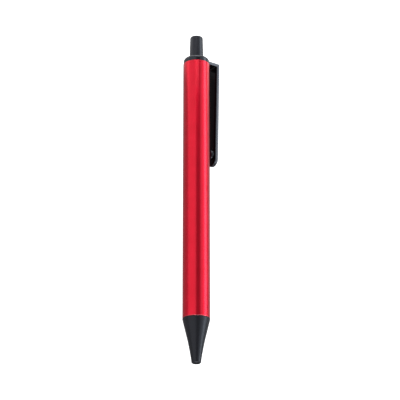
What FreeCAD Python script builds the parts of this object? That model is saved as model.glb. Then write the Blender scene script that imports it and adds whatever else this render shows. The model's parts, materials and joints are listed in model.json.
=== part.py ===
import FreeCAD, Part
import math
import os

# Click pen with one refill, in millimetres. Every solid is first made about the pen's own axis
# (local Z, 0 at the nose end, the clip on local +X) and then laid down as the pen lies on a table:
# the axis along +Y, the button towards +Y, the barrel and one edge of the clip on the table.

# ---- driving dimensions: outside ----
BARREL_R = 5.5            # outer radius of the aluminium tube
BARREL_WALL = 0.5
BARREL_LENGTH = 109.5
BARREL_EDGE = 0.15        # broken edge at both ends of the tube
NOSE_LENGTH = 18.1        # visible length of the nose cone
NOSE_LAND = 0.4           # short straight land next to the barrel
NOSE_MID_R = 3.53         # where the straight cone runs into the tapering end
NOSE_MID_Z = 9.6
NOSE_HOLLOW = 0.06        # how far the tapering end is hollowed below a straight line
NOSE_END_R = 1.9          # outer radius at the chamfer round the mouth
NOSE_END_CHAMFER = 0.4
NOSE_MOUTH_BORE_R = 1.3
NOSE_NECK_R = 2.06        # radius at the top of the short neck
NOSE_NECK_Z = 1.7
NOSE_EDGE = 0.15          # rounded edges beside the barrel
COLLAR_R = 5.35           # a small step inside the barrel
COLLAR_HEIGHT = 2.65      # above the barrel's end
COLLAR_LAND = 1.2         # straight side below the dome
COLLAR_MID_R = 5.05       # a point on the dome's curve
COLLAR_MID_Z = 2.12
COLLAR_TOP_R = 4.25       # where the dome turns into the flat round the button
COLLAR_LIP = 0.05
COLLAR_SKIRT = 4.0        # spigot length inside the barrel
BUTTON_STAND = 10.0       # how far the button stands out of the collar
BUTTON_BASE_R = 2.93
BUTTON_TAPER = 0.2        # smaller radius at its rounded top
BUTTON_ROUND = 0.8
BUTTON_END = 1.1          # thickness of its flat end
BUTTON_WALL = 0.9
BUTTON_DEPTH = 3.0        # how far it reaches into the barrel

# ---- driving dimensions: clip ----
CLIP_OUT = 10.15          # outer face to the pen's axis, at the bend
CLIP_LEAN = 1.05          # how far the free end leans in
CLIP_WIDTH = 5.8
CLIP_THICK = 1.65
CLIP_BELOW = 43.6         # free end below the barrel's end
CLIP_BEND = 0.4           # size of the bend's outer corner
CLIP_INNER_BEND = 0.5
BRIDGE_ABOVE = 2.0        # bridge's rear face above the barrel's end
BRIDGE_THICK = 1.45
BRIDGE_ROOT = 4.4         # from the axis to its root inside the collar
BRIDGE_SPLIT = 7.2        # from the axis to the line that the arm bends about
CLIP_EDGE = 0.5           # rounding of the outer edges
CLIP_INNER_EDGE = 0.15
BUMP_R = 2.0              # contact bump near the free end
BUMP_FROM_END = 5.0
BUMP_GAP = 0.3            # between the bump and the barrel

# ---- driving dimensions: inside ----
REFILL_LENGTH = 107.0     # ball to tail
TIP_RETRACTED = 1.8       # ball behind the nose's mouth when retracted
BALL_R = 0.5
TIP_R = 1.15
TIP_CONE = 3.0
TIP_LIP_R = 0.62          # above the ball's socket
TIP_LIP = 0.9
TIP_FLOOR = 0.45          # socket's floor above the ball's front
TIP_MOUTH_R = 0.44
TIP_MOUTH = 0.35
TIP_LENGTH = 9.0
TIP_SHANK_R = 0.75
TIP_SHANK = 3.0
HOLDER_R = 1.2             # clears the mouth as the refill feeds
HOLDER_LUG_R = 1.95
HOLDER_LUG = 1.2
HOLDER_SPIGOT = 4.5
HOLDER_BORE_R = 0.5
TUBE_R = 1.5
TUBE_BORE_R = 1.0
INK_LENGTH = 62.0         # ink column
GREASE_LENGTH = 4.0
TAIL_PLUG = 3.0
TAIL_VENT_R = 0.3
SPRING_SEAT = 8.9         # shoulder in the nose that carries the spring
SPRING_LENGTH = 21.0      # fitted length
SPRING_MEAN_R = 1.85
SPRING_WIRE = 0.35
SPRING_TURNS = 13
CHAMBER_R = 2.35          # spring chamber in the nose
SPIGOT_R = 3.9            # root of the nose's thread
THREAD_DEPTH = 0.25
THREAD_PITCH = 1.0
THREAD_COUNT = 6
THREAD_START = 1.6        # first thread above the joint
THREAD_SUNK = 0.1         # root of a thread inside the spigot
SPIGOT_LENGTH = 9.0
INSERT_LENGTH = 11.0
PRESS_TRAVEL = 6.0        # button's full stroke
LATCH_TRAVEL = 4.5        # stroke at which the refill stays out
SLOT_DEPTH = 0.8          # of the guide sleeve's slots, between its ribs
RIB_COUNT = 4
RIB_ANGLE = 24.0
FIN_ANGLE = 20.0
RIB_SUNK = 0.2            # ribs and fins reach this far into what carries them
FIN_START = 14.0          # leading edge of a rotor fin past its rib's centre, degrees
FIN_HEIGHT = 3.2
FIN_CATCH = 12.0          # part of a fin that ends up under the next rib, degrees
ROTOR_IN_RIBS = 0.5       # rotor's crown inside the ribs, radially
ROTOR_BORE_R = 1.2
ROTOR_FOOT = 0.4          # fins above the refill's tail
ROTOR_NECK = 0.3          # between the fins and the teeth
ROTOR_TEETH = 8
TOOTH_HEIGHT = 0.9
TOOTH_SHARE = 0.96        # part of a step that a tooth gap takes
SLEEVE_BELOW = 3.5        # sleeve past the rotor's lowest place
PLUNGER_FIN = 3.0
PLUNGER_FIN_PLAY = 8.0    # fin narrower than its slot, degrees
PLUNGER_WEB = 3.0
PLUNGER_STEM_END = 2.6    # stem's end below the button's face
PLUNGER_BORE_R = 1.6

# ---- named clearances ----
SEAM_GAP = 0.06           # nose to barrel end
SLIDE_GAP = 0.10          # button in collar, plunger in ribs
THREAD_GAP = 0.10
TURN_GAP = 0.15           # rotor fins in the slots, teeth to teeth
SPLIT_GAP = 0.04          # bridge to clip arm
REST_GAP = 0.10           # rotor on the refill's tail, spring on its seats
BUTTON_TO_RIB = 0.30      # button inside the sleeve's ribs
BRIDGE_TO_BUTTON = 0.30   # bridge's root to the collar's bore
BALL_GAP = 0.02           # ball in its socket

# ---- places worked out from the sizes ----
BORE_R = BARREL_R - BARREL_WALL
BARREL_LOW = NOSE_LENGTH
BARREL_TOP = BARREL_LOW + BARREL_LENGTH
PEN_LENGTH = BARREL_TOP + COLLAR_HEIGHT + BUTTON_STAND
REFILL_TOP = TIP_RETRACTED + REFILL_LENGTH
HOLDER_LOW = TIP_RETRACTED + TIP_LENGTH
SHOULDER_Z = SPRING_SEAT + SPRING_LENGTH
TUBE_LOW = SHOULDER_Z + HOLDER_LUG
RIB_R = BUTTON_BASE_R + BUTTON_TO_RIB
SLOT_R = RIB_R + SLOT_DEPTH
ROTOR_R = RIB_R - ROTOR_IN_RIBS
BUTTON_TOP_R = BUTTON_BASE_R - BUTTON_TAPER
BRIDGE_TOP = BARREL_TOP + BRIDGE_ABOVE
FIN_TOP = REFILL_TOP + FIN_HEIGHT + ROTOR_FOOT
TEETH_Z = FIN_TOP + ROTOR_NECK + TOOTH_HEIGHT
RIB_LOW = FIN_TOP - LATCH_TRAVEL + REST_GAP
PLUNGER_LOW = TEETH_Z + TURN_GAP
PLUNGER_FIN_LOW = PLUNGER_LOW + TOOTH_HEIGHT + ROTOR_NECK
RIB_TOP = PLUNGER_FIN_LOW + PLUNGER_FIN + SLIDE_GAP
SLEEVE_TOP = BARREL_TOP - COLLAR_SKIRT
SLEEVE_LOW = REFILL_TOP - PRESS_TRAVEL - SLEEVE_BELOW
BUTTON_LOW = BARREL_TOP - BUTTON_DEPTH
ROTOR_TURN = 360.0 / RIB_COUNT - RIB_ANGLE / 2 - FIN_START - FIN_ANGLE + FIN_CATCH
CORNER_R = math.hypot(CLIP_OUT - CLIP_EDGE, CLIP_WIDTH / 2 - CLIP_EDGE)
ROLL = math.asin((BARREL_R - CLIP_EDGE) / CORNER_R) - math.atan2(
    CLIP_WIDTH / 2 - CLIP_EDGE, CLIP_OUT - CLIP_EDGE
)
CLIP_REACH = (
    (CLIP_OUT - CLIP_EDGE) * math.cos(ROLL) + (CLIP_WIDTH / 2 - CLIP_EDGE) * math.sin(ROLL) + CLIP_EDGE
)
SHIFT_X = (BARREL_R - CLIP_REACH) / 2
SHIFT_Y = -PEN_LENGTH / 2

AXIS = FreeCAD.Vector(0, 0, 1)
ORIGIN = FreeCAD.Vector(0, 0, 0)


def at(radius, z):
    return FreeCAD.Vector(radius, 0, z)


def turned(edges):
    """Solid of revolution of a closed outline drawn as (radius, z) edges."""
    face = Part.Face(Part.Wire(edges))
    return face.revolve(ORIGIN, AXIS, 360)


def outline(points):
    """Straight closed outline through (radius, z) points."""
    corners = [at(r, z) for r, z in points]
    return Part.makePolygon(corners + corners[:1]).Edges


def ring(outer, inner, low, high):
    """Plain tube between two radii and two heights."""
    return turned(outline([(inner, low), (outer, low), (outer, high), (inner, high)]))


def rod(radius, low, high):
    """Plain round bar on the axis."""
    return Part.makeCylinder(radius, high - low, at(0, low))


def sector(inner, outer, low, high, start, angle):
    """Part of a ring that covers some degrees round the axis."""
    face = Part.Face(Part.Wire(outline([(inner, low), (outer, low), (outer, high), (inner, high)])))
    solid = face.revolve(ORIGIN, AXIS, angle)
    solid.rotate(ORIGIN, AXIS, start)
    return solid


def round_array(solid, count):
    """The same solid at equal steps round the axis."""
    copies = []
    for step in range(count):
        copy = solid.copy()
        copy.rotate(ORIGIN, AXIS, 360.0 * step / count)
        copies.append(copy)
    return copies


def tooth_gaps(inner, outer, low, high, count):
    """Sawtooth gaps: one flank upright, one sloping, cut from the end of a ring."""
    mid = (inner + outer) / 2
    reach = outer - inner
    step = 2 * math.pi * mid / count
    corners = [
        FreeCAD.Vector(inner - reach, 0.0, high),
        FreeCAD.Vector(inner - reach, step * TOOTH_SHARE, high),
        FreeCAD.Vector(inner - reach, step * TOOTH_SHARE, low),
    ]
    face = Part.Face(Part.makePolygon(corners + corners[:1]))
    return round_array(face.extrude(FreeCAD.Vector(3 * reach, 0, 0)), count)


def barrel():
    tube = ring(BARREL_R, BORE_R, BARREL_LOW + SEAM_GAP, BARREL_TOP)
    rims = [e for e in tube.Edges if getattr(e.Curve, "Radius", 0) > BARREL_R - 1e-6]
    return tube.makeFillet(BARREL_EDGE, rims)


def nose_cone():
    """Moulded cone with a mouth for the tip, a spring chamber and a threaded spigot."""
    joint = BARREL_LOW
    spigot_top = joint + SPIGOT_LENGTH
    foot = at(NOSE_END_R - NOSE_END_CHAMFER, 0)
    foot_edge = at(NOSE_END_R, NOSE_END_CHAMFER)
    neck = at(NOSE_NECK_R, NOSE_NECK_Z)
    taper = at(NOSE_MID_R, NOSE_MID_Z)
    hollow = at(
        (NOSE_NECK_R + NOSE_MID_R) / 2 - NOSE_HOLLOW, (NOSE_NECK_Z + NOSE_MID_Z) / 2
    )
    land = at(BARREL_R, joint - NOSE_LAND)
    edges = [
        Part.LineSegment(at(NOSE_MOUTH_BORE_R, 0), foot).toShape(),
        Part.LineSegment(foot, foot_edge).toShape(),
        Part.LineSegment(foot_edge, neck).toShape(),
        Part.Arc(neck, hollow, taper).toShape(),
        Part.LineSegment(taper, land).toShape(),
        Part.LineSegment(land, at(BARREL_R, joint - NOSE_EDGE)).toShape(),
        Part.LineSegment(at(BARREL_R, joint - NOSE_EDGE), at(BARREL_R - NOSE_EDGE, joint)).toShape(),
    ]
    inside = [
        at(BARREL_R - NOSE_EDGE, joint), at(SPIGOT_R, joint), at(SPIGOT_R, spigot_top),
        at(CHAMBER_R, spigot_top), at(CHAMBER_R, SPRING_SEAT),
        at(NOSE_MOUTH_BORE_R, SPRING_SEAT), at(NOSE_MOUTH_BORE_R, 0),
    ]
    edges += Part.makePolygon(inside).Edges
    solid = turned(edges)
    for turn in range(THREAD_COUNT):
        low = joint + THREAD_START + turn * THREAD_PITCH
        crest = outline([
            (SPIGOT_R - THREAD_SUNK, low), (SPIGOT_R, low),
            (SPIGOT_R + THREAD_DEPTH, low + 0.3 * THREAD_PITCH),
            (SPIGOT_R + THREAD_DEPTH, low + 0.4 * THREAD_PITCH), (SPIGOT_R, low + 0.7 * THREAD_PITCH),
            (SPIGOT_R - THREAD_SUNK, low + 0.7 * THREAD_PITCH),
        ])
        solid = solid.fuse(turned(crest))
    return solid


def thread_insert():
    bore = SPIGOT_R + THREAD_DEPTH + THREAD_GAP
    return ring(BORE_R, bore, BARREL_LOW + 2 * SEAM_GAP, BARREL_LOW + INSERT_LENGTH)


def across(points, width):
    """Flat outline in the plane of the axis and the clip, extruded evenly to both sides."""
    corners = [FreeCAD.Vector(x, -width / 2, z) for x, z in points]
    face = Part.Face(Part.makePolygon(corners + corners[:1]))
    return face.extrude(FreeCAD.Vector(0, width, 0))


def clip_collar():
    """Domed end collar: a skirt inside the barrel, the dome, and the bridge that carries the clip."""
    top = BARREL_TOP + COLLAR_HEIGHT
    bore = BUTTON_BASE_R + SLIDE_GAP
    land = at(COLLAR_R, BARREL_TOP + COLLAR_LAND)
    dome_mid = at(COLLAR_MID_R, BARREL_TOP + COLLAR_MID_Z)
    dome_top = at(COLLAR_TOP_R, top - COLLAR_LIP)
    edges = [
        Part.LineSegment(at(COLLAR_R, BARREL_TOP), land).toShape(),
        Part.Arc(land, dome_mid, dome_top).toShape(),
    ]
    rest = [
        dome_top, at(bore, top), at(bore, BARREL_TOP - COLLAR_SKIRT),
        at(BORE_R, BARREL_TOP - COLLAR_SKIRT), at(BORE_R, BARREL_TOP), at(COLLAR_R, BARREL_TOP),
    ]
    collar = turned(edges + Part.makePolygon(rest).Edges)
    plate = across([
        (BRIDGE_ROOT, BRIDGE_TOP - BRIDGE_THICK), (BRIDGE_ROOT, BRIDGE_TOP),
        (BRIDGE_SPLIT, BRIDGE_TOP), (BRIDGE_SPLIT, BRIDGE_TOP - BRIDGE_THICK),
    ], CLIP_WIDTH)
    upper = [
        e for e in plate.Edges
        if e.BoundBox.YLength < 0.01 < e.BoundBox.XLength and e.CenterOfMass.z > BRIDGE_TOP - 0.01
    ]
    plate = plate.makeFillet(CLIP_EDGE, upper)
    plate = plate.cut(rod(bore + BRIDGE_TO_BUTTON, BARREL_TOP, top))
    return collar.fuse(plate).removeSplitter()


def edges_near(arm, low, high):
    """Long edges of the clip's arm and its free end, between two distances from the pen's axis."""
    chosen = []
    for edge in arm.Edges:
        middle = edge.CenterOfMass
        depth = BARREL_TOP - middle.z
        face_shift = CLIP_LEAN * depth / CLIP_BELOW
        near_end = depth > CLIP_BELOW - CLIP_WIDTH
        is_long = edge.Length > 2 * CLIP_WIDTH or (near_end and edge.Length > CLIP_WIDTH)
        if is_long and low < middle.x + face_shift < high:
            chosen.append(edge)
    return chosen


def pocket_clip():
    """Moulded arm: the bend at the bridge, a straight arm that leans in, a rounded free end."""
    start = BRIDGE_SPLIT + SPLIT_GAP
    end_z = BARREL_TOP - CLIP_BELOW
    bridge_under = BRIDGE_TOP - BRIDGE_THICK
    outer_end = CLIP_OUT - CLIP_LEAN
    bend_x = CLIP_OUT - CLIP_THICK
    eased = 0.29 * CLIP_BEND
    side = across([
        (start, BRIDGE_TOP), (CLIP_OUT - CLIP_BEND, BRIDGE_TOP), (CLIP_OUT - eased, BRIDGE_TOP - eased),
        (CLIP_OUT, BRIDGE_TOP - CLIP_BEND), (outer_end, end_z), (outer_end - CLIP_THICK, end_z),
        (bend_x, bridge_under - CLIP_INNER_BEND), (bend_x - CLIP_INNER_BEND, bridge_under),
        (start, bridge_under),
    ], CLIP_WIDTH)
    half = CLIP_WIDTH / 2
    left = FreeCAD.Vector(0, -half, BRIDGE_TOP + 1)
    right = FreeCAD.Vector(0, half, BRIDGE_TOP + 1)
    left_end = FreeCAD.Vector(0, -half, end_z + half)
    right_end = FreeCAD.Vector(0, half, end_z + half)
    front = Part.Wire([
        Part.LineSegment(left, left_end).toShape(),
        Part.Arc(left_end, FreeCAD.Vector(0, 0, end_z), right_end).toShape(),
        Part.LineSegment(right_end, right).toShape(),
        Part.LineSegment(right, left).toShape(),
    ])
    arm = side.common(Part.Face(front).extrude(FreeCAD.Vector(CLIP_OUT + 2, 0, 0)))
    arm = arm.makeFillet(CLIP_EDGE, edges_near(arm, CLIP_OUT - 0.45 * CLIP_THICK, CLIP_OUT + 1))
    arm = arm.makeFillet(CLIP_INNER_EDGE, edges_near(arm, 0, CLIP_OUT - 0.55 * CLIP_THICK))
    bump_z = end_z + BUMP_FROM_END
    face_x = outer_end - CLIP_THICK + CLIP_LEAN * BUMP_FROM_END / CLIP_BELOW
    reach = face_x - (BARREL_R + BUMP_GAP)
    radius = (BUMP_R ** 2 + reach ** 2) / (2 * reach)
    ball = Part.makeSphere(radius, FreeCAD.Vector(BARREL_R + BUMP_GAP + radius, 0, bump_z))
    block = Part.makeBox(reach + 0.6, 2 * BUMP_R + 2, 2 * BUMP_R + 2, FreeCAD.Vector(
        BARREL_R, -BUMP_R - 1, bump_z - BUMP_R - 1))
    return arm.fuse(ball.common(block)).removeSplitter()


def push_button():
    """Hollow cap, slightly tapered, with a rounded top edge."""
    top = PEN_LENGTH
    foot = BARREL_TOP + COLLAR_HEIGHT
    side = at(BUTTON_TOP_R, top - BUTTON_ROUND)
    middle = at(BUTTON_TOP_R - BUTTON_ROUND * 0.29, top - BUTTON_ROUND * 0.29)
    rim = at(BUTTON_TOP_R - BUTTON_ROUND, top)
    inner = BUTTON_BASE_R - BUTTON_WALL
    path = [
        rim, at(0, top), at(0, top - BUTTON_END), at(inner, top - BUTTON_END), at(inner, BUTTON_LOW),
        at(BUTTON_BASE_R, BUTTON_LOW), at(BUTTON_BASE_R, foot), side,
    ]
    return turned([Part.Arc(side, middle, rim).toShape()] + Part.makePolygon(path).Edges)


def cam_plunger():
    """Pusher under the button: stem, toothed skirt and fins that keep it from turning."""
    outer = RIB_R - SLIDE_GAP
    skirt_top = SLEEVE_TOP - SLIDE_GAP
    stem = rod(BUTTON_BASE_R - BUTTON_WALL, skirt_top, PEN_LENGTH - PLUNGER_STEM_END)
    skirt = ring(outer, PLUNGER_BORE_R, PLUNGER_LOW, skirt_top)
    web = rod(PLUNGER_BORE_R, skirt_top - PLUNGER_WEB, skirt_top)
    half_slot = 180.0 / RIB_COUNT
    fin_angle = 2 * half_slot - RIB_ANGLE - PLUNGER_FIN_PLAY
    fin = sector(outer - RIB_SUNK, SLOT_R - TURN_GAP, PLUNGER_FIN_LOW, PLUNGER_FIN_LOW + PLUNGER_FIN,
                 half_slot - fin_angle / 2, fin_angle)
    gaps = tooth_gaps(PLUNGER_BORE_R, outer, PLUNGER_LOW + TOOTH_HEIGHT, PLUNGER_LOW, ROTOR_TEETH)
    solid = stem.fuse([skirt, web] + round_array(fin, RIB_COUNT))
    return solid.cut(gaps).removeSplitter()


def rotor():
    """Turning cam on the refill's tail: toothed crown and fins that ride in the sleeve's slots."""
    low = REFILL_TOP + REST_GAP
    crown = ring(ROTOR_R, ROTOR_BORE_R, low, TEETH_Z)
    pin = rod(ROTOR_BORE_R, low, FIN_TOP)
    fin = sector(ROTOR_R - RIB_SUNK, SLOT_R - TURN_GAP, FIN_TOP - FIN_HEIGHT, FIN_TOP, FIN_START, FIN_ANGLE)
    gaps = tooth_gaps(ROTOR_BORE_R, ROTOR_R, TEETH_Z - TOOTH_HEIGHT, TEETH_Z, ROTOR_TEETH)
    return crown.fuse([pin] + round_array(fin, RIB_COUNT)).cut(gaps).removeSplitter()


def guide_sleeve():
    """Slotted guide pressed into the barrel: ribs that end where the rotor's fins catch."""
    body = ring(BORE_R, SLOT_R, SLEEVE_LOW, SLEEVE_TOP)
    rib = sector(RIB_R, SLOT_R + RIB_SUNK, RIB_LOW, RIB_TOP, -RIB_ANGLE / 2, RIB_ANGLE)
    collar = ring(SLOT_R + RIB_SUNK, RIB_R, RIB_TOP, SLEEVE_TOP)
    return body.fuse(round_array(rib, RIB_COUNT) + [collar]).removeSplitter()


def return_spring():
    """Compression spring: a round wire on a helix with its ends inside the fitted length."""
    height = SPRING_LENGTH - SPRING_WIRE - REST_GAP
    helix = Part.makeHelix(height / SPRING_TURNS, height, SPRING_MEAN_R)
    helix.translate(at(0, SPRING_SEAT + SPRING_WIRE / 2 + REST_GAP / 2))
    start = helix.Edges[0]
    point = start.valueAt(start.FirstParameter)
    heading = start.tangentAt(start.FirstParameter)
    wire = Part.Wire(Part.makeCircle(SPRING_WIRE / 2, point, heading))
    return Part.Wire(helix).makePipeShell([wire], True, True)


def refill_tube():
    return ring(TUBE_R, TUBE_BORE_R, TUBE_LOW, REFILL_TOP)


def ink_column():
    low = TUBE_LOW + HOLDER_SPIGOT
    return rod(TUBE_BORE_R, low, low + INK_LENGTH)


def grease_follower():
    low = TUBE_LOW + HOLDER_SPIGOT + INK_LENGTH
    return rod(TUBE_BORE_R, low, low + GREASE_LENGTH)


def refill_tail():
    return ring(TUBE_BORE_R, TAIL_VENT_R, REFILL_TOP - TAIL_PLUG, REFILL_TOP)


def tip_holder():
    """Adapter that joins tip and tube, with the shoulder that the spring pushes on."""
    return turned(outline([
        (TIP_SHANK_R, HOLDER_LOW), (HOLDER_R, HOLDER_LOW), (HOLDER_R, SHOULDER_Z),
        (HOLDER_LUG_R, SHOULDER_Z), (HOLDER_LUG_R, TUBE_LOW), (TUBE_BORE_R, TUBE_LOW),
        (TUBE_BORE_R, TUBE_LOW + HOLDER_SPIGOT), (HOLDER_BORE_R, TUBE_LOW + HOLDER_SPIGOT),
        (HOLDER_BORE_R, HOLDER_LOW + TIP_SHANK), (TIP_SHANK_R, HOLDER_LOW + TIP_SHANK),
    ]))


def tip_body():
    """Brass tip: socket for the ball, cone, straight body and a shank in the holder."""
    low = TIP_RETRACTED
    solid = turned(outline([
        (0, low + TIP_FLOOR), (TIP_MOUTH_R, low + TIP_MOUTH), (TIP_LIP_R, low + TIP_LIP),
        (TIP_R, low + TIP_CONE), (TIP_R, HOLDER_LOW), (TIP_SHANK_R, HOLDER_LOW), (TIP_SHANK_R, HOLDER_LOW + TIP_SHANK),
        (0, HOLDER_LOW + TIP_SHANK),
    ]))
    socket = Part.makeSphere(BALL_R + BALL_GAP, at(0, low + BALL_R))
    return solid.cut(socket)


def writing_ball():
    return Part.makeSphere(BALL_R, at(0, TIP_RETRACTED + BALL_R))


def lay_down(solid):
    """Pen axis onto +Y, clip rolled down to the table, barrel on z = 0, box centred in X and Y."""
    c = math.cos(ROLL)
    s = math.sin(ROLL)
    matrix = FreeCAD.Matrix(c, -s, 0, SHIFT_X, 0, 0, 1, SHIFT_Y, -s, -c, 0, BARREL_R, 0, 0, 0, 1)
    return solid.transformed(matrix)


PIECES = [
    barrel, nose_cone, thread_insert, clip_collar, pocket_clip, push_button, cam_plunger, rotor,
    guide_sleeve, return_spring, refill_tube, ink_column, grease_follower, refill_tail, tip_holder,
    tip_body, writing_ball,
]


os.makedirs("parts", exist_ok=True)
for piece in PIECES:
    shape = lay_down(piece())
    solids = len(shape.Solids)
    print(piece.__name__, "solids", solids, "valid", shape.isValid(), "volume", round(shape.Volume, 3))
    shape.exportStep("parts/" + piece.__name__ + ".step")
print("length", round(PEN_LENGTH, 3), "roll", round(math.degrees(ROLL), 3), "rotor turns", ROTOR_TURN)
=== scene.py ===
import json
import math

import bmesh
import bpy
from mathutils import Matrix, Vector


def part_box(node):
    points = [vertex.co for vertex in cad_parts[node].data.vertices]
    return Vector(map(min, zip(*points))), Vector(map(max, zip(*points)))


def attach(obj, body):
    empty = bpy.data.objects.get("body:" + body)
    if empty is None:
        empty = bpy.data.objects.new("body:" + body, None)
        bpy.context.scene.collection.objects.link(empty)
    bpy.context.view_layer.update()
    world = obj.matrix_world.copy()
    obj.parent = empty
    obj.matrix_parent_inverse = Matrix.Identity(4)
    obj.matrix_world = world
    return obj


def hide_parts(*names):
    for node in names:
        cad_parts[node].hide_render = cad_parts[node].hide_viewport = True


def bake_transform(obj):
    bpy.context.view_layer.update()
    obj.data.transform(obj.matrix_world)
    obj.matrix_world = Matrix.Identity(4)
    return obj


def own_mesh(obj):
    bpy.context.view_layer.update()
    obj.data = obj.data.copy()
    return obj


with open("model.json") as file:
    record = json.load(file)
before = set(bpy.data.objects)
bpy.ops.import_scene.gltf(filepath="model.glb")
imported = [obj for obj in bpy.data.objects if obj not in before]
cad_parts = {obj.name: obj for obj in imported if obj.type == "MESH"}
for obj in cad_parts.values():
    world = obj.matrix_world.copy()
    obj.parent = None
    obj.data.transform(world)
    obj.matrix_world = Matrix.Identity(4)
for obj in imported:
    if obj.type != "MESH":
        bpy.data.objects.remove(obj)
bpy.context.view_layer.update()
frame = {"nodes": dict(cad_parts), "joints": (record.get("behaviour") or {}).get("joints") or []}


# ---------------------------------------------------------------- barrel
# Drawn aluminium tube in satin red, cut square and lightly broken at both ends. A narrow paler ring at
# the front edge, where the nose cone closes the tube, is a painted highlight of the rim's glint. The
# collar closes its rear end.

MM = 0.001
barrel_low, barrel_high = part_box("barrel")
nose_low, nose_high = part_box("nose_cone")
axis_x = (barrel_low.x + barrel_high.x) / 2
axis_z = (barrel_low.z + barrel_high.z) / 2
mouth_y = nose_low.y
barrel_radius = (barrel_high.x - barrel_low.x) / 2
barrel_end_y = barrel_high.y
flex = next(joint for joint in frame["joints"] if joint["name"] == "clip_flex")
clip_across = -Vector(flex["axis"]).normalized()
pen_forward = Vector((0, 1, 0))
clip_out = clip_across.cross(pen_forward).normalized()


def place(out, across, along):
    """A point given from the pen's axis: towards the clip, across the clip, and along +Y."""
    return Vector((axis_x, along, axis_z)) + clip_out * out + clip_across * across


def arc(start, middle, end, steps):
    """Points on the circle through three (radius, along) points, the first left out."""
    (ax, ay), (bx, by), (cx, cy) = start, middle, end
    d = 2 * (ax * (by - cy) + bx * (cy - ay) + cx * (ay - by))
    ux = ((ax * ax + ay * ay) * (by - cy) + (bx * bx + by * by) * (cy - ay)
          + (cx * cx + cy * cy) * (ay - by)) / d
    uy = ((ax * ax + ay * ay) * (cx - bx) + (bx * bx + by * by) * (ax - cx)
          + (cx * cx + cy * cy) * (bx - ax)) / d
    first = math.atan2(ay - uy, ax - ux)
    turn = math.atan2(cy - uy, cx - ux) - first
    turn = (turn + math.pi) % (2 * math.pi) - math.pi
    radius = math.hypot(ax - ux, ay - uy)
    angles = [first + turn * k / steps for k in range(1, steps + 1)]
    return [(ux + radius * math.cos(a), uy + radius * math.sin(a)) for a in angles]


def corner(before, point, after, radius, steps=4):
    """Rounded corner of an outline, as points on an arc between its two sides."""
    p = Vector(point)
    to_before = (Vector(before) - p).normalized()
    to_after = (Vector(after) - p).normalized()
    half = to_before.angle(to_after) / 2
    reach = radius / math.tan(half)
    centre = p + (to_before + to_after).normalized() * (radius / math.sin(half))
    start = p + to_before * reach
    end = p + to_after * reach
    middle = centre + (p - centre).normalized() * radius
    return [tuple(start)] + arc(tuple(start), tuple(middle), tuple(end), steps)


def shade(mesh, sharp_degrees=34):
    """Smooth faces with sharp edges kept where the surface really turns."""
    mesh.polygons.foreach_set("use_smooth", [True] * len(mesh.polygons))
    mesh.set_sharp_from_angle(angle=math.radians(sharp_degrees))


def lathe(name, outline, segments=160, closed=True):
    """A turned piece about the pen's axis from a closed outline of (radius, along) points."""
    shape = bmesh.new()
    angles = [2 * math.pi * k / segments for k in range(segments)]
    rows = []
    for radius, along in outline:
        if radius < 1e-7:
            rows.append([shape.verts.new(place(0, 0, along))])
            continue
        rows.append([
            shape.verts.new(place(radius * math.cos(a), radius * math.sin(a), along)) for a in angles
        ])
    pairs = list(zip(rows, rows[1:])) + ([(rows[-1], rows[0])] if closed else [])
    for low, high in pairs:
        for k in range(segments):
            n = (k + 1) % segments
            around = [low[k % len(low)], low[n % len(low)], high[n % len(high)], high[k % len(high)]]
            distinct = list(dict.fromkeys(around))
            if len(distinct) > 2:
                shape.faces.new(distinct)
    bmesh.ops.recalc_face_normals(shape, faces=shape.faces)
    mesh = bpy.data.meshes.new(name)
    shape.to_mesh(mesh)
    shape.free()
    shade(mesh)
    piece = bpy.data.objects.new(name, mesh)
    bpy.context.scene.collection.objects.link(piece)
    return piece


def node_tree(material):
    """Fresh nodes of a material: its tree, its Principled shader and object coordinates."""
    material.use_nodes = True
    tree = material.node_tree
    tree.nodes.clear()
    out = tree.nodes.new("ShaderNodeOutputMaterial")
    shader = tree.nodes.new("ShaderNodeBsdfPrincipled")
    tree.links.new(shader.outputs["BSDF"], out.inputs["Surface"])
    coords = tree.nodes.new("ShaderNodeTexCoord")
    return tree, shader, coords.outputs["Object"]


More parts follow.
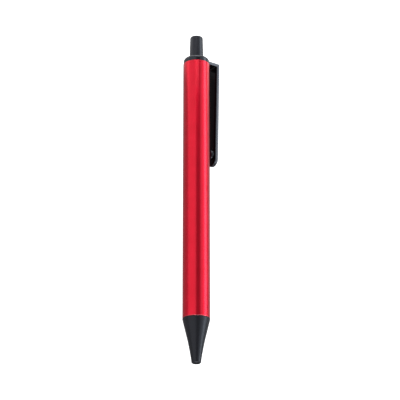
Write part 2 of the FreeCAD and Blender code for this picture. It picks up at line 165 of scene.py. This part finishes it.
def grain_group():
    """Fine surface grain: a height for bump, and a roughness that drifts with the same grain."""
    group = bpy.data.node_groups.new("surface_grain", "ShaderNodeTree")
    face = group.interface
    face.new_socket("Vector", in_out="INPUT", socket_type="NodeSocketVector")
    for label, value in (("Scale", 4000.0), ("Stretch", 1.0), ("Roughness", 0.3), ("Spread", 0.06)):
        face.new_socket(label, in_out="INPUT", socket_type="NodeSocketFloat").default_value = value
    face.new_socket("Height", in_out="OUTPUT", socket_type="NodeSocketFloat")
    face.new_socket("Roughness", in_out="OUTPUT", socket_type="NodeSocketFloat")
    nodes, links = group.nodes, group.links
    inside = nodes.new("NodeGroupInput")
    outside = nodes.new("NodeGroupOutput")
    stretch = nodes.new("ShaderNodeCombineXYZ")
    stretch.inputs["X"].default_value = 1.0
    stretch.inputs["Z"].default_value = 1.0
    links.new(inside.outputs["Stretch"], stretch.inputs["Y"])
    scaled = nodes.new("ShaderNodeVectorMath")
    scaled.operation = "MULTIPLY"
    links.new(inside.outputs["Vector"], scaled.inputs[0])
    links.new(stretch.outputs["Vector"], scaled.inputs[1])
    fine = nodes.new("ShaderNodeTexNoise")
    fine.inputs["Detail"].default_value = 3.0
    links.new(scaled.outputs["Vector"], fine.inputs["Vector"])
    links.new(inside.outputs["Scale"], fine.inputs["Scale"])
    broad = nodes.new("ShaderNodeTexNoise")
    broad.inputs["Scale"].default_value = 90.0
    broad.inputs["Detail"].default_value = 5.0
    links.new(inside.outputs["Vector"], broad.inputs["Vector"])
    both = nodes.new("ShaderNodeMath")
    both.operation = "ADD"
    links.new(fine.outputs["Fac"], both.inputs[0])
    links.new(broad.outputs["Fac"], both.inputs[1])
    centred = nodes.new("ShaderNodeMath")
    centred.operation = "SUBTRACT"
    centred.inputs[1].default_value = 1.0
    links.new(both.outputs["Value"], centred.inputs[0])
    drift = nodes.new("ShaderNodeMath")
    drift.operation = "MULTIPLY_ADD"
    links.new(centred.outputs["Value"], drift.inputs[0])
    links.new(inside.outputs["Spread"], drift.inputs[1])
    links.new(inside.outputs["Roughness"], drift.inputs[2])
    links.new(fine.outputs["Fac"], outside.inputs["Height"])
    links.new(drift.outputs["Value"], outside.inputs["Roughness"])
    return group


surface_grain = grain_group()


def add_grain(tree, shader, coords, scale, stretch, roughness, spread, depth):
    """Puts the grain on a shader: its roughness, and a bump of a real depth, which is returned."""
    grain = tree.nodes.new("ShaderNodeGroup")
    grain.node_tree = surface_grain
    tree.links.new(coords, grain.inputs["Vector"])
    grain.inputs["Scale"].default_value = scale
    grain.inputs["Stretch"].default_value = stretch
    grain.inputs["Roughness"].default_value = roughness
    grain.inputs["Spread"].default_value = spread
    bump = tree.nodes.new("ShaderNodeBump")
    bump.inputs["Strength"].default_value = 0.5
    bump.inputs["Distance"].default_value = depth
    tree.links.new(grain.outputs["Height"], bump.inputs["Height"])
    tree.links.new(bump.outputs["Normal"], shader.inputs["Normal"])
    tree.links.new(grain.outputs["Roughness"], shader.inputs["Roughness"])
    return bump


def colour_drift(tree, shader, coords, first, second, scale):
    """Base colour that drifts gently between two close tones over the surface, also returned."""
    cloud = tree.nodes.new("ShaderNodeTexNoise")
    cloud.inputs["Scale"].default_value = scale
    cloud.inputs["Detail"].default_value = 4.0
    tree.links.new(coords, cloud.inputs["Vector"])
    ramp = tree.nodes.new("ShaderNodeValToRGB")
    ramp.color_ramp.elements[0].position = 0.35
    ramp.color_ramp.elements[1].position = 0.65
    ramp.color_ramp.elements[0].color = (*first, 1)
    ramp.color_ramp.elements[1].color = (*second, 1)
    tree.links.new(cloud.outputs["Fac"], ramp.inputs["Fac"])
    tree.links.new(ramp.outputs["Color"], shader.inputs["Base Color"])
    return ramp.outputs["Color"]


# Width of the paler ring at the barrel's front rim, a painted highlight of the rim's glint.
painted_glint_width = 0.16 * MM


def satin_red():
    """Satin red over brushed metal, paler in a narrow ring at the tube's front edge: a painted
    highlight of the rim's glint.

    The mix node's colour sockets share their names with others, so they are taken by number."""
    material = bpy.data.materials.new("satin_red_lacquer")
    tree, shader, coords = node_tree(material)
    lacquer_colour = colour_drift(tree, shader, coords, (0.72, 0.001, 0.021), (0.78, 0.002, 0.026), 160.0)
    split = tree.nodes.new("ShaderNodeSeparateXYZ")
    tree.links.new(coords, split.inputs["Vector"])
    # Painted highlight: the glint on the barrel's front rim is painted as a paler red in a narrow ring.
    painted_glint_mask = tree.nodes.new("ShaderNodeMapRange")
    painted_glint_mask.inputs["From Min"].default_value = barrel_low.y + painted_glint_width
    painted_glint_mask.inputs["From Max"].default_value = barrel_low.y + painted_glint_width * 0.8
    tree.links.new(split.outputs["Y"], painted_glint_mask.inputs["Value"])
    mix = tree.nodes.new("ShaderNodeMix")
    mix.data_type = "RGBA"
    inner_colour, painted_glint_colour, mixed_colour = mix.inputs[6], mix.inputs[7], mix.outputs[2]
    painted_glint_colour.default_value = (0.78, 0.16, 0.19, 1)
    tree.links.new(painted_glint_mask.outputs["Result"], mix.inputs["Factor"])
    tree.links.new(lacquer_colour, inner_colour)
    tree.links.new(mixed_colour, shader.inputs["Base Color"])
    add_grain(tree, shader, coords, 5200.0, 0.25, 0.30, 0.04, 0.0000012)
    shader.inputs["Metallic"].default_value = 0.95
    shader.inputs["Coat Weight"].default_value = 0.42
    shader.inputs["Coat Roughness"].default_value = 0.12
    return material


barrel_wall = 0.5 * MM
barrel_edge = 0.16 * MM
bore = barrel_radius - barrel_wall
ends = [(bore, barrel_low.y), (barrel_radius, barrel_low.y),
        (barrel_radius, barrel_end_y), (bore, barrel_end_y)]
tube = [ends[0]] + corner(ends[0], ends[1], ends[2], barrel_edge)
tube += corner(ends[1], ends[2], ends[3], barrel_edge) + [ends[3]]
barrel = lathe("barrel_tube", tube)
barrel.data.materials.append(satin_red())
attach(barrel, "pen_body")
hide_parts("barrel")


# ---------------------------------------------------------------- nose cone
# Black moulded cone that unscrews: a short land beside the barrel, a straight cone, a hollowed
# neck and a chamfered mouth. Behind it stands the spigot that carries its thread.

def black_plastic(name, tone, roughness, gloss):
    """Moulded black plastic with a fine mould texture and a faintly blue sheen."""
    material = bpy.data.materials.new(name)
    tree, shader, coords = node_tree(material)
    bluish = (tone, tone, tone * 1.4)
    colour_drift(tree, shader, coords, bluish, tuple(1.3 * c for c in bluish), 220.0)
    add_grain(tree, shader, coords, 9000.0, 1.0, roughness, 0.05, 0.000002)
    shader.inputs["IOR"].default_value = 1.52
    shader.inputs["Specular IOR Level"].default_value = gloss
    shader.inputs["Specular Tint"].default_value = (0.88, 0.90, 1.0, 1)
    return material


joint_y = mouth_y + 18.1 * MM
nose_mouth = 1.3 * MM
nose_chamfer = 0.4 * MM
nose_end = 1.9 * MM
spigot = 3.9 * MM
chamber = 2.35 * MM
seat_y = mouth_y + 8.9 * MM
spigot_end_y = nose_high.y
neck = (2.06 * MM, mouth_y + 1.7 * MM)
taper = (3.53 * MM, mouth_y + 9.6 * MM)
hollow = ((neck[0] + taper[0]) / 2 - 0.06 * MM, (neck[1] + taper[1]) / 2)
land = (barrel_radius, joint_y - 0.4 * MM)
shoulder = (barrel_radius, joint_y)
mouth_edge = 0.12 * MM
chamfer_round = 0.2 * MM
land_round = 1.2 * MM
shoulder_round = 0.28 * MM
spigot_root_round = 0.2 * MM
spigot_end_round = 0.3 * MM
mouth_face = (nose_end - nose_chamfer, mouth_y)
mouth_side = (nose_end, mouth_y + nose_chamfer)
spigot_root = (spigot, joint_y)
spigot_end = (spigot, spigot_end_y)
chamber_end = (chamber, spigot_end_y)
cone = [(nose_mouth, mouth_y + mouth_edge), (nose_mouth + mouth_edge, mouth_y)]
cone += corner((nose_mouth, mouth_y), mouth_face, mouth_side, chamfer_round)
cone += corner(mouth_face, mouth_side, neck, chamfer_round)
cone += [neck] + arc(neck, hollow, taper, 16)
cone += corner(taper, land, shoulder, land_round, 6)
cone += corner(land, shoulder, spigot_root, shoulder_round)
cone += corner(shoulder, spigot_root, spigot_end, spigot_root_round)
cone += corner(spigot_root, spigot_end, chamber_end, spigot_end_round)
cone += [chamber_end, (chamber, seat_y), (nose_mouth, seat_y)]
nose = lathe("nose_cone_shell", cone, 192)
nose_plastic = black_plastic("nose_black", 0.005, 0.34, 0.36)
nose.data.materials.append(nose_plastic)
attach(nose, "nose")
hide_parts("nose_cone")


# ---------------------------------------------------------------- nose thread
# The screw thread on the nose's spigot: one rounded ridge that winds round it six times.
# It screws into the bush in the barrel's front end.

def wound_ridge(name, radius, pitch, turns, section, start_y, steps, sides, squash_to, material):
    """A ridge or a wire on a helix round the pen's axis, made by a small geometry tree.

    Its height off the helix is scaled by squash_to."""
    tree = bpy.data.node_groups.new(name, "GeometryNodeTree")
    face = tree.interface
    face.new_socket("Geometry", in_out="INPUT", socket_type="NodeSocketGeometry")
    values = (("Radius", radius), ("Height", pitch * turns), ("Turns", turns), ("Section", section))
    for label, value in values:
        face.new_socket(label, in_out="INPUT", socket_type="NodeSocketFloat").default_value = value
    face.new_socket("Geometry", in_out="OUTPUT", socket_type="NodeSocketGeometry")
    nodes, links = tree.nodes, tree.links
    inside = nodes.new("NodeGroupInput")
    outside = nodes.new("NodeGroupOutput")
    path = nodes.new("GeometryNodeCurveSpiral")
    path.inputs["Resolution"].default_value = steps
    links.new(inside.outputs["Turns"], path.inputs["Rotations"])
    links.new(inside.outputs["Radius"], path.inputs["Start Radius"])
    links.new(inside.outputs["Radius"], path.inputs["End Radius"])
    links.new(inside.outputs["Height"], path.inputs["Height"])
    ring = nodes.new("GeometryNodeCurvePrimitiveCircle")
    ring.inputs["Resolution"].default_value = sides
    links.new(inside.outputs["Section"], ring.inputs["Radius"])
    sweep = nodes.new("GeometryNodeCurveToMesh")
    sweep.inputs["Fill Caps"].default_value = True
    links.new(path.outputs["Curve"], sweep.inputs["Curve"])
    links.new(ring.outputs["Curve"], sweep.inputs["Profile Curve"])
    smooth = nodes.new("GeometryNodeSetShadeSmooth")
    links.new(sweep.outputs["Mesh"], smooth.inputs["Geometry"])
    realise = nodes.new("GeometryNodeRealizeInstances")
    links.new(smooth.outputs["Geometry"], realise.inputs["Geometry"])
    finish = nodes.new("GeometryNodeSetMaterial")
    finish.inputs["Material"].default_value = material
    links.new(realise.outputs["Geometry"], finish.inputs["Geometry"])
    links.new(finish.outputs["Geometry"], outside.inputs["Geometry"])
    carrier = bpy.data.objects.new(name + "_carrier", bpy.data.meshes.new(name + "_carrier"))
    bpy.context.scene.collection.objects.link(carrier)
    modifier = carrier.modifiers.new("ridge", "NODES")
    modifier.node_group = tree
    graph = bpy.context.evaluated_depsgraph_get()
    mesh = bpy.data.meshes.new_from_object(carrier.evaluated_get(graph))
    bpy.data.objects.remove(carrier)
    low = min(v.co.z for v in mesh.vertices)
    for vertex in mesh.vertices:
        x, y, z = vertex.co
        spread = math.hypot(x, y)
        pulled = radius + (spread - radius) * squash_to
        vertex.co = place(x / spread * pulled, y / spread * pulled, start_y + z - low)
    mesh.name = name
    piece = bpy.data.objects.new(name, mesh)
    bpy.context.scene.collection.objects.link(piece)
    shape = bmesh.new()
    shape.from_mesh(mesh)
    bmesh.ops.recalc_face_normals(shape, faces=shape.faces)
    shape.to_mesh(mesh)
    shape.free()
    return piece


thread = wound_ridge(
    "nose_thread", radius=spigot, pitch=1.0 * MM, turns=6.0, section=0.25 * MM,
    start_y=joint_y + 1.4 * MM, steps=64, sides=12, squash_to=0.9, material=nose_plastic,
)
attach(thread, "nose")


# ---------------------------------------------------------------- end collar
# Black domed plug in the barrel's rear end. Its bore guides the button, and the bridge of the
# pocket clip grows out of its side.

collar_top_y = barrel_end_y + 2.65 * MM
collar_skirt_y = barrel_end_y - 4.0 * MM
collar_bore = 3.03 * MM
collar_side = 5.35 * MM
dome_start = (collar_side, barrel_end_y + 1.2 * MM)
dome_middle = (5.05 * MM, barrel_end_y + 2.12 * MM)
dome_end = (4.25 * MM, collar_top_y - 0.05 * MM)
under = (collar_side, barrel_end_y)
under_round = 0.1 * MM
bore_round = 0.15 * MM
dome = [(bore, collar_skirt_y), (bore, barrel_end_y)]
dome += corner((bore, barrel_end_y), under, dome_start, under_round)
dome += [dome_start] + arc(dome_start, dome_middle, dome_end, 20)
dome += corner(dome_end, (collar_bore, collar_top_y), (collar_bore, barrel_end_y), bore_round)
dome += [(collar_bore, collar_skirt_y)]
collar = lathe("end_collar_dome", dome)
collar_plastic = black_plastic("collar_black", 0.004, 0.20, 0.5)
collar.data.materials.append(collar_plastic)
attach(collar, "pen_body")
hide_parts("clip_collar")


# ---------------------------------------------------------------- pocket clip
# Flat sprung arm moulded in one with the collar's bridge: a short bridge, a tight bend and a long
# arm that leans in, with rounded outer edges and a half-round free end.

arm_outer = 10.15 * MM
arm_lean = 1.05 * MM
arm_thick = 1.65 * MM
bridge_thick = 1.45 * MM
arm_half = 2.9 * MM
arm_below = 43.6 * MM
arm_end_y = barrel_end_y - arm_below
bend_y = barrel_end_y + 2.0 * MM
bridge_root = 4.5 * MM
outer_round = 0.5 * MM
inner_round = 0.15 * MM
bend_round = 0.4 * MM
inner_bend = 0.6 * MM
end_steps = 32


def clip_path(start, bend, end, radius, bridge_steps=24, bend_steps=8, arm_steps=60):
    """A face of the clip seen from the side, as (out, along) points from the root to the free end."""
    points = []
    curve = corner(start, bend, end, radius, bend_steps)
    first = Vector(start)
    into = Vector(curve[0])
    for k in range(bridge_steps):
        points.append(first.lerp(into, k / bridge_steps))
    points += [Vector(p) for p in curve]
    away = points[-1].copy()
    last = Vector(end)
    for k in range(1, arm_steps + 1):
        points.append(away.lerp(last, k / arm_steps))
    return points


spread_y = arm_end_y + arm_half
lean_there = arm_lean * (1 - arm_half / arm_below)
outer_face = clip_path(
    (bridge_root, bend_y), (arm_outer, bend_y), (arm_outer - lean_there, spread_y), bend_round,
)
inner_out = arm_outer - arm_thick
bridge_under = bend_y - bridge_thick
inner_face = clip_path(
    (bridge_root, bridge_under), (inner_out, bridge_under), (inner_out - lean_there, spread_y),
    inner_bend,
)


def clip_section():
    """Half of the clip's section from the middle of the inner face round to the outer face.

    Each entry is the inset from the edge, and the height as a share of the thickness."""
    rows = [(arm_half, 0.0), (arm_half / 2, 0.0)]
    for k in range(4):
        a = math.pi / 2 * k / 3
        rows.append((inner_round * (1 - math.sin(a)), inner_round / arm_thick * (1 - math.cos(a))))
    for k in range(9):
        a = math.pi / 2 * k / 8
        rows.append((outer_round * (1 - math.cos(a)), 1 - outer_round / arm_thick * (1 - math.sin(a))))
    return rows + [(arm_half / 2, 1.0), (arm_half, 1.0)]


def clip_mesh():
    """The clip as spokes: one side, round the free end, and back along the other side."""
    shape = bmesh.new()
    section = clip_section()
    lean = (outer_face[-1] - outer_face[-2]).normalized()
    columns = []
    for k in range(len(outer_face)):
        columns.append((k, 0.0))
    for k in range(1, end_steps + 1):
        columns.append((len(outer_face) - 1, math.pi * k / end_steps))
    for k in range(len(outer_face) - 2, -1, -1):
        columns.append((k, math.pi))
    rows = []
    for index, angle in columns:
        column = []
        for inset, height in section:
            reach = arm_half - inset
            side = Vector(inner_face[index]).lerp(outer_face[index], height)
            side = side + lean * (reach * math.sin(angle))
            column.append(shape.verts.new(place(side.x, reach * math.cos(angle), side.y)))
        rows.append(column)
    for left, right in zip(rows, rows[1:]):
        for j in range(len(section) - 1):
            shape.faces.new([left[j], right[j], right[j + 1], left[j + 1]])
    bmesh.ops.remove_doubles(shape, verts=shape.verts, dist=1e-7)
    bmesh.ops.holes_fill(shape, edges=[e for e in shape.edges if e.is_boundary])
    bmesh.ops.recalc_face_normals(shape, faces=shape.faces)
    mesh = bpy.data.meshes.new("pocket_clip_arm")
    shape.to_mesh(mesh)
    shape.free()
    shade(mesh)
    return mesh


def clip_black():
    """The black plastic, glossy on the arm's sides and back and dull on the face towards the barrel: a
    painted shade that keeps that face dark, as in the shade between arm and barrel.
    """
    material = black_plastic("clip_black", 0.002, 0.20, 0.5)
    nodes, links = material.node_tree.nodes, material.node_tree.links
    # Painted shade: the face towards the barrel reflects less, so it stays dark like the shade between
    # arm and barrel.
    inwards = nodes.new("ShaderNodeVectorMath")
    inwards.operation = "DOT_PRODUCT"
    inwards.inputs[1].default_value = -clip_out
    links.new(nodes["Texture Coordinate"].outputs["Normal"], inwards.inputs[0])
    gloss = nodes.new("ShaderNodeMapRange")
    gloss.inputs["From Min"].default_value = 0.3
    gloss.inputs["From Max"].default_value = 0.8
    gloss.inputs["To Min"].default_value = 0.7
    gloss.inputs["To Max"].default_value = 0.12
    links.new(inwards.outputs["Value"], gloss.inputs["Value"])
    links.new(gloss.outputs["Result"], nodes["Principled BSDF"].inputs["Specular IOR Level"])
    return material


clip = bpy.data.objects.new("pocket_clip_arm", clip_mesh())
bpy.context.scene.collection.objects.link(clip)
clip_plastic = clip_black()
clip.data.materials.append(clip_plastic)
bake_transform(clip)
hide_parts("pocket_clip")


# ---------------------------------------------------------------- clip bump
# Small dome moulded on the inside of the arm near its free end. It presses the cloth of a
# pocket against the barrel.

bump_y = arm_end_y + 5.0 * MM
bump_foot = 2.0 * MM
bump_face = arm_outer - arm_lean - arm_thick
bump_reach = bump_face - barrel_radius - 0.3 * MM
bump_sunk = 0.4 * MM


def dome_mesh(name, foot, reach, face_out, along, rings=12, segments=48):
    """A round dome that stands inwards from the arm's inner face, closed on its back."""
    shape = bmesh.new()
    turns = [2 * math.pi * m / segments for m in range(segments)]
    rows = [[shape.verts.new(place(face_out - reach, 0, along))]]
    for k in range(1, rings + 1):
        a = math.pi / 2 * k / rings
        out = face_out - reach * math.cos(a)
        spread = foot * math.sin(a)
        rows.append([
            shape.verts.new(place(out, spread * math.cos(t), along + spread * math.sin(t)))
            for t in turns
        ])
    rows.append([shape.verts.new(v.co + clip_out * bump_sunk) for v in rows[-1]])
    for low, high in zip(rows, rows[1:]):
        for m in range(segments):
            n = (m + 1) % segments
            around = [low[m % len(low)], low[n % len(low)], high[n], high[m]]
            shape.faces.new(list(dict.fromkeys(around)))
    shape.faces.new(rows[-1])
    bmesh.ops.recalc_face_normals(shape, faces=shape.faces)
    mesh = bpy.data.meshes.new(name)
    shape.to_mesh(mesh)
    shape.free()
    shade(mesh)
    return mesh


bump_mesh = dome_mesh("clip_bump", bump_foot, bump_reach, bump_face, bump_y)
bump = bpy.data.objects.new("clip_bump", bump_mesh)
bpy.context.scene.collection.objects.link(bump)
bump.data.materials.append(clip_plastic)
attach(bump, "clip")


# ---------------------------------------------------------------- push button
# Black moulded cap, slightly tapered, with a rounded rim and an almost flat end for the thumb.
# It slides in the collar's bore and is hollow over the plunger's stem.

button_low, button_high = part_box("push_button")
button_base = 2.93 * MM
button_top = 2.73 * MM
button_round = 0.8 * MM
button_end = 1.1 * MM
button_inner = 2.03 * MM
button_crown = 0.08 * MM
button_tip_y = button_high.y
rim_start = (button_top, button_tip_y - button_round)
rim_middle = (button_top - 0.31 * button_round, button_tip_y - 0.34 * button_round)
rim_end = (button_top - 1.05 * button_round, button_tip_y - button_crown * 0.55)
cap_top = (0.0, button_tip_y)
cap_mouth = [(button_inner, button_low.y), (button_base, button_low.y), (button_base, collar_top_y)]
cap_inside = [(0.0, button_tip_y - button_end), (button_inner, button_tip_y - button_end)]
cap = cap_mouth + [rim_start] + arc(rim_start, rim_middle, rim_end, 14)
cap += arc(rim_end, (0.7 * MM, button_tip_y - button_crown * 0.1), cap_top, 8)[:-1]
cap += [cap_top] + cap_inside
button = lathe("push_button_cap", cap, 128)
button.data.materials.append(black_plastic("button_black", 0.007, 0.30, 0.42))
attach(button, "button")
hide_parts("push_button")


# ---------------------------------------------------------------- return spring
# Drawn steel wire, wound to thirteen open turns round the refill's front end. It stands on the
# seat in the nose and pushes on the tip holder's shoulder, so it shortens as the button goes in.

def steel_wire():
    material = bpy.data.materials.new("spring_steel")
    tree, shader, coords = node_tree(material)
    colour_drift(tree, shader, coords, (0.52, 0.51, 0.50), (0.62, 0.61, 0.60), 900.0)
    add_grain(tree, shader, coords, 14000.0, 1.0, 0.24, 0.10, 0.000001)
    shader.inputs["Metallic"].default_value = 1.0
    return material


spring_low, spring_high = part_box("return_spring")
wire = 0.35 * MM
spring_length = spring_high.y - spring_low.y
spring_turns = 13.0
spring = wound_ridge(
    "return_spring_coil", radius=1.85 * MM, pitch=(spring_length - wire) / spring_turns,
    turns=spring_turns, section=wire / 2, start_y=spring_low.y, steps=48, sides=14, squash_to=1.0,
    material=steel_wire(),
)
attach(spring, "nose")
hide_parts("return_spring")
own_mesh(spring)


# ---------------------------------------------------------------- writing tip
# Turned brass tip: a straight body, a long cone and a small rolled lip that holds the ball.
# Faint turning rings run round it.

def turned_brass():
    """Turned brass: the roughness of the grain, and the turning rings as its relief."""
    material = bpy.data.materials.new("turned_brass")
    tree, shader, coords = node_tree(material)
    colour_drift(tree, shader, coords, (0.70, 0.50, 0.22), (0.78, 0.58, 0.28), 700.0)
    rings = tree.nodes.new("ShaderNodeTexWave")
    rings.wave_type = "BANDS"
    rings.bands_direction = "Y"
    rings.inputs["Scale"].default_value = 1600.0
    rings.inputs["Distortion"].default_value = 0.6
    tree.links.new(coords, rings.inputs["Vector"])
    relief = add_grain(tree, shader, coords, 9000.0, 6.0, 0.26, 0.08, 0.000004)
    relief.inputs["Strength"].default_value = 0.25
    tree.links.new(rings.outputs["Fac"], relief.inputs["Height"])
    shader.inputs["Metallic"].default_value = 1.0
    return material


tip_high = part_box("tip_body")[1]
ball_low, ball_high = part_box("writing_ball")
ball_y = (ball_low.y + ball_high.y) / 2
tip_radius = 1.15 * MM
shank_radius = 0.75 * MM
holder_y = tip_high.y - 3.0 * MM
cone_y = ball_low.y + 3.0 * MM
socket = 0.52 * MM
lip_angle = 0.24
side_angle = 0.6
lip_edge = 0.05 * MM
tip_shoulder_round = 0.12 * MM
tip_cone_round = 0.6 * MM
lip = (socket * math.cos(lip_angle), ball_y - socket * math.sin(lip_angle))
socket_side = (socket * math.cos(side_angle), ball_y + socket * math.sin(side_angle))
socket_floor = (0.0, ball_y + socket)
neck_end = (0.62 * MM, ball_y + 0.4 * MM)
tip_shoulder = (tip_radius, holder_y)
cone_start = (tip_radius, cone_y)
tip_outline = [(0.0, tip_high.y), (shank_radius, tip_high.y), (shank_radius, holder_y)]
tip_outline += corner((shank_radius, holder_y), tip_shoulder, cone_start, tip_shoulder_round)
tip_outline += corner(tip_shoulder, cone_start, neck_end, tip_cone_round, 6)
tip_outline += [neck_end, (0.60 * MM, ball_y), (lip[0] + lip_edge, lip[1]), lip]
tip_outline += arc(lip, socket_side, socket_floor, 10)[:-1] + [socket_floor]
tip = lathe("turned_tip", tip_outline, 96, closed=False)
tip.data.materials.append(turned_brass())
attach(tip, "refill")
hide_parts("tip_body")


# ---------------------------------------------------------------- plain inner pieces
# The refill, the turning cam and the guides keep their designed shapes: moulded acetal for the
# mechanism, pale plastic for the refill, and a tungsten ball.

def moulded(name, first, second, roughness, depth):
    """Plain moulded plastic in one pale tone with a fine skin."""
    material = bpy.data.materials.new(name)
    tree, shader, coords = node_tree(material)
    colour_drift(tree, shader, coords, first, second, 300.0)
    add_grain(tree, shader, coords, 6000.0, 1.0, roughness, 0.08, depth)
    return material


acetal = moulded("natural_acetal", (0.72, 0.72, 0.69), (0.78, 0.78, 0.75), 0.42, 0.000004)
acetal_shader = acetal.node_tree.nodes["Principled BSDF"]
acetal_shader.inputs["Subsurface Weight"].default_value = 0.1
acetal_shader.inputs["Subsurface Radius"].default_value = (1.0 * MM, 1.0 * MM, 1.0 * MM)
for node in ("thread_insert", "guide_sleeve", "cam_plunger", "rotor"):
    frame["nodes"][node].data.materials[0] = acetal

pale_plastic = moulded("refill_plastic", (0.74, 0.76, 0.78), (0.80, 0.81, 0.83), 0.28, 0.000002)
for node in ("refill_tube", "refill_tail", "tip_holder"):
    frame["nodes"][node].data.materials[0] = pale_plastic

ink = moulded("ink_paste", (0.012, 0.016, 0.10), (0.016, 0.022, 0.13), 0.2, 0.000002)
frame["nodes"]["ink_column"].data.materials[0] = ink
grease = moulded("follower_grease", (0.70, 0.58, 0.30), (0.76, 0.64, 0.36), 0.22, 0.000002)
frame["nodes"]["grease_follower"].data.materials[0] = grease


def tungsten():
    material = bpy.data.materials.new("tungsten_ball")
    tree, shader, coords = node_tree(material)
    colour_drift(tree, shader, coords, (0.42, 0.42, 0.44), (0.50, 0.50, 0.52), 3000.0)
    add_grain(tree, shader, coords, 30000.0, 1.0, 0.14, 0.06, 0.0000006)
    shader.inputs["Metallic"].default_value = 1.0
    return material


frame["nodes"]["writing_ball"].data.materials[0] = tungsten()


# ---------------------------------------------------------------- camera
# Long lens over the lying pen, from a little towards the nose, with the button end up. The clip
# then stands at the right of the barrel and turned away from the lens.

camera_distance = 0.65
camera_below = math.radians(20.0)
clip_turned_away = math.radians(37.0)
field_height = 0.1623
camera_aside = 1.47 * MM
aim_before_middle = 5.09 * MM
outward = clip_out * -math.sin(clip_turned_away) - clip_across * math.cos(clip_turned_away)
image_right = pen_forward.cross(outward).normalized()
toward_lens = outward * math.cos(camera_below) - pen_forward * math.sin(camera_below)
barrel_middle = Vector((axis_x, (barrel_low.y + barrel_end_y) / 2, axis_z))
camera_data = bpy.data.cameras.new("camera")
sensor = 36.0
camera_data.sensor_width = sensor
camera_data.lens = sensor * camera_distance / field_height
camera_data.clip_start = 0.05
camera_data.clip_end = 20.0
camera = bpy.data.objects.new("camera", camera_data)
bpy.context.scene.collection.objects.link(camera)
beside = barrel_middle + image_right * camera_aside
camera.location = beside + toward_lens * camera_distance
aim = beside - pen_forward * aim_before_middle
back = (camera.location - aim).normalized()
camera_turn = Matrix((image_right, back.cross(image_right), back)).transposed()
camera.rotation_mode = "QUATERNION"
camera.rotation_quaternion = camera_turn.to_quaternion()
bpy.context.scene.camera = camera


# ---------------------------------------------------------------- light and table
# A white table, soft lights that run along the pen on its left and right, a low light past each
# end that draws the rims, a small one over the button end, and a weak white surround.

def soft_light(name, direction, distance, width, length, radiance, colour):
    """Area light that faces the barrel's middle, its length along the pen where it can be."""
    data = bpy.data.lights.new(name, "AREA")
    data.shape = "RECTANGLE"
    data.size = width
    data.size_y = length
    data.energy = math.pi * width * length * radiance
    data.color = colour
    light = bpy.data.objects.new(name, data)
    bpy.context.scene.collection.objects.link(light)
    facing = direction.normalized()
    light.location = barrel_middle + facing * distance
    along = toward_lens if abs(facing.dot(pen_forward)) > 0.9 else pen_forward
    side = along.cross(facing).normalized()
    light.rotation_mode = "QUATERNION"
    light.rotation_quaternion = Matrix((side, facing.cross(side), facing)).transposed().to_quaternion()


def round_the_pen(degrees):
    """Direction from the pen's axis at an angle from the lens, positive to the right."""
    return outward * math.cos(math.radians(degrees)) + image_right * math.sin(math.radians(degrees))


cool = (0.86, 0.94, 1.0)
near_white = (0.95, 0.97, 1.0)
low_rise = outward * 0.2
towards_button = math.radians(48)
over_button = round_the_pen(8) * math.cos(towards_button) + pen_forward * math.sin(towards_button)
soft_light("broad_left", round_the_pen(-36), 0.5, 0.66, 1.0, 0.82, near_white)
soft_light("fill_right", round_the_pen(68), 0.5, 0.66, 1.0, 0.85, cool)
soft_light("strip_right", round_the_pen(81), 0.45, 0.19, 1.0, 2.8, cool)
soft_light("past_button", pen_forward + low_rise, 0.6, 0.5, 0.25, 3.2, near_white)
soft_light("past_nose", low_rise - pen_forward, 0.6, 0.5, 0.25, 4.0, near_white)
soft_light("over_button", over_button, 0.5, 0.2, 0.2, 1.5, near_white)

world = bpy.data.worlds.new("surround")
bpy.context.scene.world = world
world.use_nodes = True
world.node_tree.nodes["Background"].inputs["Color"].default_value = (1, 1, 1, 1)
world.node_tree.nodes["Background"].inputs["Strength"].default_value = 0.25

table_mesh = bpy.data.meshes.new("table")
half_table = 2.0
table_corners = [(x * half_table, y * half_table, 0) for x, y in ((-1, -1), (1, -1), (1, 1), (-1, 1))]
table_mesh.from_pydata(table_corners, [], [(0, 1, 2, 3)])
table = bpy.data.objects.new("table", table_mesh)
bpy.context.scene.collection.objects.link(table)
table.location.z = -0.2 * MM
# The lens sees the table white. In reflections it's dim, and bright only past the button end.
white = bpy.data.materials.new("white_table")
tree, shader, coords = node_tree(white)
shader.inputs["Base Color"].default_value = (0.3, 0.3, 0.3, 1)
shader.inputs["Roughness"].default_value = 0.8
shader.inputs["Emission Color"].default_value = (1, 1, 1, 1)
seen = tree.nodes.new("ShaderNodeLightPath")
glow = tree.nodes.new("ShaderNodeMath")
glow.operation = "MULTIPLY_ADD"
glow.inputs[1].default_value = 1.0
split = tree.nodes.new("ShaderNodeSeparateXYZ")
tree.links.new(coords, split.inputs["Vector"])
past_end = tree.nodes.new("ShaderNodeMapRange")
past_end.inputs["From Min"].default_value = 55.0 * MM
past_end.inputs["From Max"].default_value = 75.0 * MM
past_end.inputs["To Min"].default_value = 0.15
past_end.inputs["To Max"].default_value = 1.0
tree.links.new(split.outputs["Y"], past_end.inputs["Value"])
tree.links.new(past_end.outputs["Result"], glow.inputs[2])
tree.links.new(seen.outputs["Is Camera Ray"], glow.inputs[0])
tree.links.new(glow.outputs["Value"], shader.inputs["Emission Strength"])
table_mesh.materials.append(white)

bpy.context.scene.view_settings.view_transform = "Standard"
